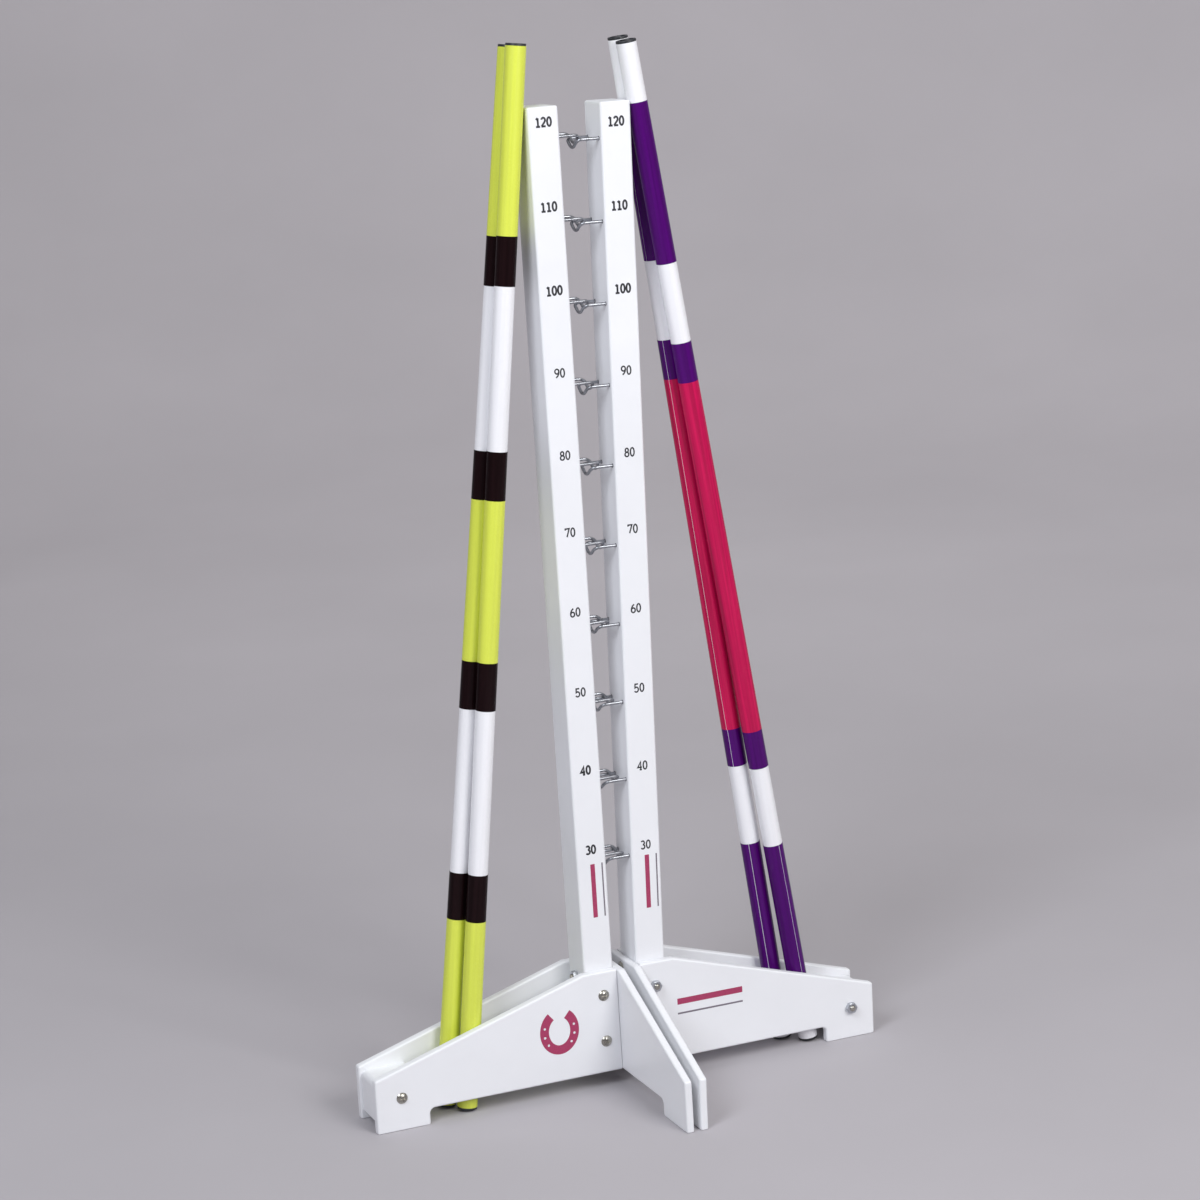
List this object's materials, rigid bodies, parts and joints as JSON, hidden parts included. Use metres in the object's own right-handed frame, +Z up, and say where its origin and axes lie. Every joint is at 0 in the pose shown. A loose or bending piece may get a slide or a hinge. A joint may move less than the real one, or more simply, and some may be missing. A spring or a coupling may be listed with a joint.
{
  "type": "show jump wing set",
  "caption": "Pair of slim white wooden jump wings with numbered posts, wire pole hooks and forked feet, stored inner side to inner side with striped poles standing in their feet.",
  "frame": {"origin": "on the floor, midway between the two posts", "axes": "+Z up, +X from the left wing to the right wing, +Y from the front to the back"},
  "size_m": [0.6928, 0.458, 1.3151],
  "materials": {
    "white_wood": "satin white paint",
    "zinc": "zinc plated",
    "white_plastic": "gloss",
    "black_cap": "moulded",
    "lime_tape": "glossy tape",
    "black_tape": "glossy tape",
    "purple_tape": "glossy tape",
    "red_tape": "glossy tape"
  },
  "bodies": {
    "left_wing": {"left_post": "white_wood", "left_front_board": "white_wood", "left_back_board": "white_wood", "left_cross_board": "white_wood", "left_end_block": "white_wood", "left_frame_bolts": "zinc", "left_frame_nuts": "zinc", "left_cross_bolts": "zinc", "left_cross_nuts": "zinc", "left_hook_1": "zinc", "left_hook_2": "zinc", "left_hook_3": "zinc", "left_hook_4": "zinc", "left_hook_5": "zinc", "left_hook_6": "zinc", "left_hook_7": "zinc", "left_hook_8": "zinc", "left_hook_9": "zinc", "left_hook_10": "zinc"},
    "right_wing": {"right_post": "white_wood", "right_front_board": "white_wood", "right_back_board": "white_wood", "right_cross_board": "white_wood", "right_end_block": "white_wood", "right_frame_bolts": "zinc", "right_frame_nuts": "zinc", "right_cross_bolts": "zinc", "right_cross_nuts": "zinc", "right_hook_1": "zinc", "right_hook_2": "zinc", "right_hook_3": "zinc", "right_hook_4": "zinc", "right_hook_5": "zinc", "right_hook_6": "zinc", "right_hook_7": "zinc", "right_hook_8": "zinc", "right_hook_9": "zinc", "right_hook_10": "zinc"},
    "lime_front_pole": {"lime_front_pole_tube": "white_plastic", "lime_front_pole_caps": "black_cap", "lime_front_pole_lime_tape": "lime_tape", "lime_front_pole_black_tape": "black_tape"},
    "lime_back_pole": {"lime_back_pole_tube": "white_plastic", "lime_back_pole_caps": "black_cap", "lime_back_pole_lime_tape": "lime_tape", "lime_back_pole_black_tape": "black_tape"},
    "purple_front_pole": {"purple_front_pole_tube": "white_plastic", "purple_front_pole_caps": "black_cap", "purple_front_pole_purple_tape": "purple_tape", "purple_front_pole_red_tape": "red_tape"},
    "purple_back_pole": {"purple_back_pole_tube": "white_plastic", "purple_back_pole_caps": "black_cap", "purple_back_pole_purple_tape": "purple_tape", "purple_back_pole_red_tape": "red_tape"}
  },
  "joints": [
    {"name": "right_wing_slide", "type": "slide", "parent": "left_wing", "child": "right_wing", "axis": [1, 0, 0], "range_m": [0, 1.29]},
    {"name": "lime_front_pole_lift", "type": "slide", "parent": "left_wing", "child": "lime_front_pole", "axis": [0.1113, -0.0012, 0.9938], "range_m": [0, 0.2]},
    {"name": "lime_back_pole_lift", "type": "slide", "parent": "left_wing", "child": "lime_back_pole", "axis": [0.1268, 0.0012, 0.9919], "range_m": [0, 0.2]},
    {"name": "purple_front_pole_lift", "type": "slide", "parent": "right_wing", "child": "purple_front_pole", "axis": [-0.1449, -0.0011, 0.9894], "range_m": [0, 0.2]},
    {"name": "purple_back_pole_lift", "type": "slide", "parent": "right_wing", "child": "purple_back_pole", "axis": [-0.1239, 0.0011, 0.9923], "range_m": [0, 0.2]}
  ]
}
